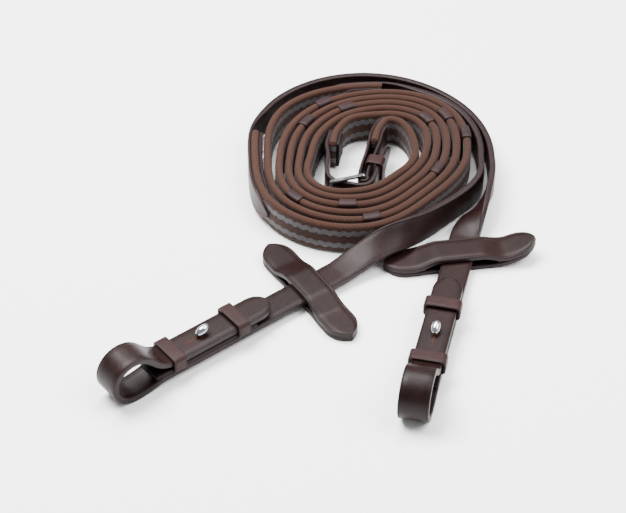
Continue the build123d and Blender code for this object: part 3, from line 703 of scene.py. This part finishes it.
# ------------------------------------------------------------ geometry nodes: a row of stitches
def stitch_row_tree():
    """Saddle stitches along lines: one plump stitch at each pitch, laid along the line."""
    tree = bpy.data.node_groups.new("Saddle stitches", "GeometryNodeTree")
    add_socket(tree, "Geometry", "NodeSocketGeometry")
    for name, value in (("Pitch", 0.0028), ("Stitch Length", 0.0021), ("Thread Radius", 0.00034),
                        ("Uneven", 0.12)):
        add_socket(tree, name, "NodeSocketFloat", value=value)
    add_socket(tree, "Seed", "NodeSocketInt", value=7)
    add_socket(tree, "Thread", "NodeSocketMaterial")
    add_socket(tree, "Geometry", "NodeSocketGeometry", "OUTPUT")
    given = tree.nodes.new("NodeGroupInput").outputs
    curve = node(tree, "GeometryNodeMeshToCurve", {"Mesh": given["Geometry"]})
    even = node(tree, "GeometryNodeResampleCurve", mode="LENGTH")
    fill_in(tree, even, {"Curve": curve.outputs["Curve"], "Length": given["Pitch"]})
    bead = node(tree, "GeometryNodeMeshUVSphere", {"Segments": 6, "Rings": 5, "Radius": 1.0})
    smooth = node(tree, "GeometryNodeSetShadeSmooth", {"Geometry": bead.outputs["Mesh"]})
    size = node(tree, "ShaderNodeCombineXYZ", {"X": given["Thread Radius"], "Y": given["Thread Radius"],
                                               "Z": times(tree, given["Stitch Length"], 0.5)})
    tangent = tree.nodes.new("GeometryNodeInputTangent").outputs[0]
    turn = node(tree, "FunctionNodeAlignRotationToVector", {"Vector": tangent}, axis="Z")
    shortest = maths(tree, "SUBTRACT", 1.0, given["Uneven"])
    chance = node(tree, "FunctionNodeRandomValue", {"Seed": given["Seed"], 2: shortest, 3: 1.0},
                  data_type="FLOAT")
    scaled = node(tree, "ShaderNodeVectorMath", operation="SCALE")
    fill_in(tree, scaled, {0: size.outputs[0], "Scale": chance.outputs[1]})
    spread = node(tree, "GeometryNodeInstanceOnPoints", {
        "Points": even.outputs["Curve"], "Instance": smooth.outputs["Geometry"],
        "Rotation": turn.outputs["Rotation"], "Scale": scaled.outputs[0]})
    real = node(tree, "GeometryNodeRealizeInstances", {"Geometry": spread.outputs["Instances"]})
    paint = node(tree, "GeometryNodeSetMaterial", {"Geometry": real.outputs["Geometry"],
                                                   "Material": given["Thread"]})
    node(tree, "NodeGroupOutput", {"Geometry": paint.outputs["Geometry"]})


def sew(name, rows, body):
    """Turns lines of points into rows of stitches on one body."""
    verts, edges = [], []
    for row in rows:
        edges += [(len(verts) + i, len(verts) + i + 1) for i in range(len(row) - 1)]
        verts += [p * MM for p in row]
    mesh = bpy.data.meshes.new(name + "_line")
    mesh.from_pydata(verts, edges, [])
    line = link_object(name + "_line", mesh)
    modifier = line.modifiers.new("Stitches", "NODES")
    modifier.node_group = bpy.data.node_groups["Saddle stitches"]
    s, thread = sizes(), bpy.data.materials["Waxed thread"]
    wanted = {"Pitch": s.stitch_pitch, "Stitch Length": s.stitch_length, "Thread Radius": s.thread_radius,
              "Thread": thread}
    for item in modifier.node_group.interface.items_tree:
        if item.in_out == "INPUT" and item.name in wanted:
            modifier[item.identifier] = wanted[item.name]
    bpy.context.view_layer.update()
    graph = bpy.context.evaluated_depsgraph_get()
    made = bpy.data.meshes.new_from_object(line.evaluated_get(graph))
    made.name = name
    line.modifiers.remove(modifier)
    bpy.data.objects.remove(line)
    made.materials.clear()
    made.materials.append(thread)
    obj = link_object(name, made)
    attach(obj, body)


# ------------------------------------------------------------ settings
def size(name, description, value):
    return bpy.props.FloatProperty(name=name, description=description, default=value, unit="LENGTH")


def colour(name, description, value):
    return bpy.props.FloatVectorProperty(name=name, description=description, default=value, size=3,
                                         subtype="COLOR", min=0, max=1)


class ReinsSizes(bpy.types.PropertyGroup):
    crease_in: size("Crease in from edge", "Distance of the crease lines from the strap edge", 0.0011)
    crease_depth: size("Crease depth", "Depth of the crease lines", 0.00009)
    edge_ease: size("Edge rounding", "Radius of the burnished strap edges", 0.0007)
    rib_pitch: size("Rib pitch", "Distance between ribs of the web", 0.0014)
    rubber_height: size("Rubber height", "How far the rubber lines stand up", 0.0002)
    stitch_pitch: size("Stitch pitch", "Distance between stitches", 0.0026)
    stitch_length: size("Stitch length", "Visible length of one stitch", 0.0020)
    thread_radius: size("Thread radius", "Half the thickness of the thread", 0.00032)


class ReinsColours(bpy.types.PropertyGroup):
    strap_dark: colour("Strap dark", "Deep tone of the havana strap leather", (0.0046, 0.0015, 0.0014))
    strap_light: colour("Strap light", "Lifted tone of the havana strap leather", (0.0115, 0.0040, 0.0036))
    strap_edge: colour("Burnished edge", "Grey-mauve waxed cut edge", (0.019, 0.0125, 0.0130))
    trim_dark: colour("Trim dark", "Deep tone of the hand stops and keepers", (0.0105, 0.0038, 0.0040))
    trim_light: colour("Trim light", "Lifted tone of the hand stops and keepers", (0.0260, 0.0098, 0.0098))
    # The two yarn tones are painted shade in the rib grooves and painted light on the ribs of the web.
    yarn: colour("Web yarn", "Shadowed yarn of the web", (0.0100, 0.0026, 0.0012))
    yarn_light: colour("Web yarn light", "Lit yarn of the web", (0.040, 0.0120, 0.0050))
    rubber: colour("Rubber lines", "Grey rubber run into the web", (0.068, 0.062, 0.066))
    steel: colour("Steel", "Polished stainless steel", (0.50, 0.51, 0.53))
    thread: colour("Thread", "Red-brown waxed thread", (0.20, 0.062, 0.048))
    raw: colour("Raw leather", "Undyed leather inside the stud slit", (0.060, 0.022, 0.010))
    floor: colour("Floor", "Plain pale floor", (0.95, 0.95, 0.95))


def sizes():
    return bpy.context.scene.reins_sizes


def leather_ring(half, thick):
    s = sizes()
    corner = min(s.edge_ease / MM, thick * 0.7)
    return eased_profile(half, thick, corner, s.crease_in / MM, s.crease_depth / MM)


# ------------------------------------------------------------ operators
class REINS_OT_materials(bpy.types.Operator):
    """Makes the shader groups, the stitch tree and every material"""
    bl_idname = "reins.materials"
    bl_label = "Materials"

    def execute(self, context):
        c = context.scene.reins_colours
        leather_grain_group()
        edge_burnish_group()
        woven_web_group()
        stitch_row_tree()
        leather_material("Strap leather", c.strap_dark, c.strap_light, c.strap_edge, 0.36, 0.06)
        leather_material("Trim leather", c.trim_dark, c.trim_light, c.strap_edge, 0.42, 0.04, 1100.0)
        leather_material("Lining leather", dimmed(c.strap_dark, 0.8), c.strap_dark, c.strap_edge, 0.55, 0.0,
                         700.0, 0.0002)
        leather_material("Raw leather", dimmed(c.raw, 0.6), c.raw, c.raw, 0.8, 0.0, 600.0, 0.0002)
        web_material("Rubber lined web", c.yarn, c.yarn_light, c.rubber, sizes().rib_pitch / MM)
        steel_material("Polished steel", c.steel)
        thread_material("Waxed thread", c.thread)
        return {"FINISHED"}


class REINS_OT_webs(bpy.types.Operator):
    """Weaves both web grips with ribbed selvedges and raised wavy rubber lines"""
    bl_idname = "reins.webs"
    bl_label = "Web grips"

    def execute(self, context):
        pitch, raised = sizes().rib_pitch / MM, sizes().rubber_height / MM

        def relief(run, v, e, index):
            rib = 1.0 if index % 2 else -1.0
            if e:
                return -0.15 + 0.15 * rib
            line = abs(abs(v) - LINE_CENTRE + LINE_SWING * sin(LINE_TURN * run))
            on_rubber = 1 - ease((line - 1.4) / 0.6)
            wave = sin(2 * pi * run / (2 * pitch) + abs(v) * 1.3)
            return on_rubber * raised * (0.6 + 0.4 * wave) + 0.03 * rib - 0.06

        for side in SIDES:
            make_piece(f"{side}_web", web_stations(side, pitch / 2), web_profile(), "web", "reins",
                       f"{side}_grip_web", relief=relief)
        return {"FINISHED"}


class REINS_OT_straps(bpy.types.Operator):
    """Cuts both front straps: lap, coil, twist, flat run, bit loop and billet"""
    bl_idname = "reins.straps"
    bl_label = "Front straps"

    def execute(self, context):
        ring = leather_ring(STRAP_HALF, STRAP_HALF_THICK)
        for side in SIDES:
            make_piece(f"{side}_strap", strap_stations(side), ring, "strap_leather", "reins",
                       f"{side}_front_strap")
        return {"FINISHED"}


class REINS_OT_inner_leathers(bpy.types.Operator):
    """Cuts the splice leathers and the linings under the billets"""
    bl_idname = "reins.inner_leathers"
    bl_label = "Splices and linings"

    def execute(self, context):
        first, last = LINING_ENDS
        middle_z = LINING_Z + LINING_THICK / 2
        for side in SIDES:
            make_piece(f"{side}_splice", lap_stations(side, False), leather_ring(STRAP_HALF, LAP_THICK / 2),
                       "inner_leather", "reins", f"{side}_splice_inner")
            stations = [along(side, first + (last - first) * i / 40, middle_z, half_thick=LINING_THICK / 2)
                        for i in range(41)]
            make_piece(f"{side}_lining", stations, leather_ring(STRAP_HALF, LINING_THICK / 2),
                       "inner_leather", "reins", f"{side}_stud_lining")
        return {"FINISHED"}


class REINS_OT_keepers(bpy.types.Operator):
    """Makes the keeper loops of both billets and of the centre buckle"""
    bl_idname = "reins.keepers"
    bl_label = "Keepers"

    def execute(self, context):
        ring = eased_profile(KEEPER_HALF, KEEPER_HALF_THICK, 0.5, 1.05, 0.1)
        up = Vector((0, 0, 1))
        for side in SIDES:
            dx, dy = bit_way(side)
            for place, name in ((TIP_KEEPER, "tip"), (BIT_KEEPER, "bit")):
                stations = ring_stations(on_run(side, place, LINING_Z + 4.4), Vector((-dy, dx, 0)), up,
                                         18.3, 7.2, KEEPER_HALF_THICK)
                make_piece(f"{side}_{name}_loop", stations, ring, "trim_leather", "reins",
                           f"{side}_{name}_keeper", closed=True)
        tilt = radians(74)
        stations = ring_stations(Vector((29.5, 54.4, MID_Z)), Vector((sin(tilt), -cos(tilt), 0)), up,
                                 8.7, 19.0, 0.75)
        make_piece("centre_loop", stations, ring, "trim_leather", "reins", "centre_keeper", closed=True)
        return {"FINISHED"}


class REINS_OT_hand_stops(bpy.types.Operator):
    """Wraps the leather hand stops round both webs"""
    bl_idname = "reins.hand_stops"
    bl_label = "Hand stops"

    def execute(self, context):
        half, thick = WEB_HALF + HAND_STOP_THICK, WEB_HALF_THICK + HAND_STOP_THICK
        ring = eased_profile(half, thick, 1.5)
        # Each place along the band with how far its skived ends close in.
        places = [(0.0, 0.0)]
        for part, close in ((0.3, 0.0), (0.6, 0.0), (0.9, 0.0), (0.97, 0.12), (1.0, 0.45)):
            places = [(-part, close), *places, (part, close)]
        for side, d in SIDES.items():
            for number, u in enumerate(d["hand_stops"], 1):
                (x0, y0), (x1, y1) = d["web"](u - 0.05), d["web"](u + 0.05)
                reach = HAND_STOP_REACH / (hypot(x1 - x0, y1 - y0) / 0.1)
                stations = [on_edge(d["web"], u + reach * part, 0, half - close, thick - close)
                            for part, close in places]
                make_piece(f"{side}_band_{number}", stations, ring, "trim_leather", "reins",
                           f"{side}_hand_stop_{number}")
        return {"FINISHED"}


class REINS_OT_stops(bpy.types.Operator):
    """Cuts the two layers of each sliding martingale stop"""
    bl_idname = "reins.stops"
    bl_label = "Martingale stops"

    def execute(self, context):
        ring = eased_profile(LOBE_HALF, STOP_THICK / 2, 0.6, 1.5, 0.12)
        for side in SIDES:
            for upper, word in ((False, "lower"), (True, "upper")):
                make_piece(f"{side}_{word}_layer", stop_stations(side, upper), ring, "strap_leather",
                           f"{side}_stop", f"{side}_stop_{word}")
        return {"FINISHED"}


class REINS_OT_centre(bpy.types.Operator):
    """Makes the folded buckle strap, the point strap with its splice, and polishes the steel"""
    bl_idname = "reins.centre"
    bl_label = "Centre buckle"

    def execute(self, context):
        lap = WEB_HALF_THICK + 1.5 * GLUE_LINE + LAP_THICK / 2
        lap_ring = leather_ring(STRAP_HALF, LAP_THICK / 2)

        def beside(route, u, out):
            x, y = route(u)
            tx, ty = direction(route, u)
            return x - ty * out, y + tx * out

        fold = ((24.6, 64.6), (22.4, 55.6), (20.6, 46.6), (20.1, 42.2), (21.0, 39.2), (23.3, 38.6),
                (24.8, 40.4), (24.6, 43.6), (25.7, 49.6), (27.5, 56.1), (29.8, 64.1))
        outer = [beside(left_web, u, lap) for u in (-4.0, -4.3, -4.6, -4.9, -5.2, -5.5, -5.8)]
        inner = [beside(left_web, u, -lap) for u in (-5.8, -5.5, -5.2, -4.9, -4.6)]
        make_piece("buckle_leather", band_stations([*outer, *fold, *inner], LAP_THICK / 2), lap_ring,
                   "strap_leather", "reins", "buckle_strap")
        path = ((2.8, 61.6), (1.9, 51.6), (3.0, 43.6), (6.1, 39.4), (10.4, 37.6), (15.0, 36.4),
                (19.7, 35.2), (24.4, 36.0), (27.8, 40.0), (29.8, 46.6), (31.4, 54.1), (33.6, 62.1),
                (35.8, 69.6), (37.8, 76.6))
        tail = [beside(right_web, u, lap) for u in (-2.0, -2.5, -3.0)]
        point_half_thick = 1.2
        make_piece("point_leather", band_stations([*tail, *path], point_half_thick, tip=12),
                   leather_ring(STRAP_HALF, point_half_thick), "strap_leather", "reins", "point_strap")
        splice = [on_edge(right_web, u, -lap, STRAP_HALF, LAP_THICK / 2)
                  for u in even_steps(right_web, -3.0, -2.0, 1.2)]
        make_piece("point_splice_leather", splice, lap_ring, "inner_leather", "reins", "point_splice")
        for name in ("buckle_frame", "buckle_tongue"):
            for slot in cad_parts[name].material_slots:
                slot.material = bpy.data.materials["Polished steel"]
        return {"FINISHED"}


class REINS_OT_studs(bpy.types.Operator):
    """Turns the hook studs: foot, neck and bullet head leaning back"""
    bl_idname = "reins.studs"
    bl_label = "Hook studs"

    def execute(self, context):
        ring = [(cos(2 * pi * i / 28), sin(2 * pi * i / 28), 0.0) for i in range(28)]
        lean, head_z, head_reach = radians(22), 6.4, 4.3
        turned = ((0.02, 2.9), (0.06, 3.3), (0.4, 3.3), (0.5, 2.6), (0.8, 1.5), (1.4, 1.3), (3.5, 1.25),
                  (4.9, 1.3), (5.8, 1.6), (6.6, 1.7))
        for side in SIDES:
            dx, dy = bit_way(side)
            foot = on_run(side, STUD_AT, LINING_Z + LINING_THICK)
            along_way, side_way = Vector((dx, dy, 0)), Vector((-dy, dx, 0))
            neck = [(foot + Vector((0, 0, z)), along_way, side_way, r, r) for z, r in turned]
            make_piece(f"{side}_stud_neck", neck, ring, "steel", "reins")
            head_way = Vector((-dx * cos(lean), -dy * cos(lean), sin(lean)))
            tall_way = side_way.cross(head_way)
            middle = foot + Vector((0, 0, head_z)) + head_way * 1.7
            head = []
            for i in range(25):
                a = pi * (0.015 + 0.97 * i / 24)
                reach = -head_reach * cos(a)
                radius = 2.45 * sin(a) ** (0.9 if reach < 0 else 1.15)
                head.append((middle + head_way * reach, side_way, tall_way, radius, radius))
            make_piece(f"{side}_stud_head", head, ring, "steel", "reins", f"{side}_hook_stud")
        return {"FINISHED"}


class REINS_OT_slits(bpy.types.Operator):
    """Opens the stud slit of each billet, with raw leather inside"""
    bl_idname = "reins.slits"
    bl_label = "Stud slits"

    def execute(self, context):
        top_z = BILLET_MID_Z + STRAP_HALF_THICK - 0.05
        outline = ((-2.0, 0.3), (-1.6, 1.1), (-0.8, 1.7), (0, 1.9), (1.0, 1.6), (1.9, 0.7), (3.0, 0.3),
                   (6.0, 0.26), (9.0, 0.22), (9.9, 0.12))
        for side in SIDES:
            stations = [along(side, STUD_AT + x, top_z, half_width=half, half_thick=0.1)
                        for x, half in outline]
            make_piece(f"{side}_slit", stations, eased_profile(1.0, 0.1, 0.05), "strap_leather", "reins",
                       material="Raw leather")
        return {"FINISHED"}


class REINS_OT_stitches(bpy.types.Operator):
    """Sews the web ends, the linings and the stops"""
    bl_idname = "reins.stitches"
    bl_label = "Stitches"

    def execute(self, context):
        rows = []
        for side, d in SIDES.items():
            outer, inner = lap_stations(side, True), lap_stations(side, False)
            lap_end = len(inner) + 4
            for v in (STITCH_LINE, -STITCH_LINE):
                rows.append(row_points(outer[2:lap_end], v, 1))
                rows.append(row_points(inner[2:], v, -1))
            under = [along(side, LINING_ENDS[0] + 1.5 + 61 * i / 30, FLAT_MID_Z) for i in range(31)]
            front = [along(side, s, LINING_Z + LINING_THICK / 2, half_thick=LINING_THICK / 2)
                     for s in (41.5, 42.7)]
            for v in (STITCH_LINE, -STITCH_LINE):
                rows.append(row_points(under, v, -d["lean"]))
                rows.append(row_points(front, v, d["lean"]))
        sew("rein_stitches", rows, "reins")
        for side in SIDES:
            rows = []
            for end in (-1, 1):
                for upper, face in ((True, 1), (False, -1)):
                    stations = stop_stations(side, upper)
                    lobe = stations[:14] if end < 0 else stations[:-15:-1]
                    near, far = [[centre + across * v * (width - 1.3) + outward * face * (thick + 0.02)
                                  for centre, across, outward, width, thick in lobe if width > 2.4]
                                 for v in (1, -1)]
                    rows.append(near[::-1] + far)
            sew(f"{side}_stop_stitches", rows, f"{side}_stop")
        return {"FINISHED"}


class REINS_OT_stage(bpy.types.Operator):
    """Lays the plain floor, the soft lights and the camera"""
    bl_idname = "reins.stage"
    bl_label = "Stage"

    def execute(self, context):
        scene = context.scene
        mesh = bpy.data.meshes.new("floor")
        mesh.from_pydata([(-6, -6, 0), (6, -6, 0), (6, 6, 0), (-6, 6, 0)], [], [(0, 1, 2, 3)])
        material, tree, bsdf = new_material("Pale floor")
        fill_in(tree, bsdf, {"Base Color": (*scene.reins_colours.floor, 1), "Roughness": 0.7})
        mesh.materials.append(material)
        link_object("floor", mesh)
        world = bpy.data.worlds.new("soft room")
        world.use_nodes = True
        room = world.node_tree.nodes["Background"]
        fill_in(world.node_tree, room, {"Color": (1, 1, 1, 1), "Strength": 0.5})
        scene.world = world
        for name, place, aim, width, power in (
                ("key", (-0.5, 0.25, 1.2), (0, 0.03, 0), 0.7, 62.0),
                ("fill", (0.8, -0.1, 1.1), (0, 0, 0), 1.0, 34.0),
                ("back", (0.05, 0.75, 1.4), (0, 0.05, 0), 0.6, 26.0)):
            light = bpy.data.lights.new(name, "AREA")
            light.size = width
            light.energy = power
            lamp = link_object(name, light)
            lamp.location = place
            lamp.rotation_euler = (Vector(aim) - Vector(place)).to_track_quat("-Z", "Y").to_euler()
        camera = bpy.data.cameras.new("camera")
        camera.sensor_width = 36
        camera.lens = 115
        view = link_object("camera", camera)
        pitch, distance = radians(41.9), 1.099
        target = Vector((-0.0058, -0.0054, 0))
        view.location = target + Vector((0, -cos(pitch), sin(pitch))) * distance
        view.rotation_euler = (pi / 2 - pitch, 0, 0)
        scene.camera = view
        return {"FINISHED"}


OPERATORS = (REINS_OT_materials, REINS_OT_webs, REINS_OT_straps, REINS_OT_inner_leathers, REINS_OT_keepers,
             REINS_OT_hand_stops, REINS_OT_stops, REINS_OT_centre, REINS_OT_studs, REINS_OT_slits,
             REINS_OT_stitches, REINS_OT_stage)


class REINS_PT_panel(bpy.types.Panel):
    """Lists the steps that build the reins"""
    bl_idname = "REINS_PT_panel"
    bl_label = "Leather reins"
    bl_space_type = "VIEW_3D"
    bl_region_type = "UI"
    bl_category = "Reins"

    def draw(self, context):
        layout = self.layout
        for group in (context.scene.reins_sizes, context.scene.reins_colours):
            for name in group.__annotations__:
                layout.prop(group, name)
        for operator in OPERATORS:
            layout.operator(operator.bl_idname)


CLASSES = (ReinsSizes, ReinsColours, *OPERATORS, REINS_PT_panel)


def register():
    for cls in CLASSES:
        bpy.utils.register_class(cls)
    bpy.types.Scene.reins_sizes = bpy.props.PointerProperty(type=ReinsSizes)
    bpy.types.Scene.reins_colours = bpy.props.PointerProperty(type=ReinsColours)


def unregister():
    del bpy.types.Scene.reins_colours
    del bpy.types.Scene.reins_sizes
    for cls in reversed(CLASSES):
        bpy.utils.unregister_class(cls)


def main():
    register()
    bpy.ops.reins.materials()
    bpy.ops.reins.webs()
    bpy.ops.reins.straps()
    bpy.ops.reins.inner_leathers()
    bpy.ops.reins.keepers()
    bpy.ops.reins.hand_stops()
    bpy.ops.reins.stops()
    bpy.ops.reins.centre()
    bpy.ops.reins.studs()
    bpy.ops.reins.slits()
    bpy.ops.reins.stitches()
    bpy.ops.reins.stage()


if __name__ == "__main__":
    main()
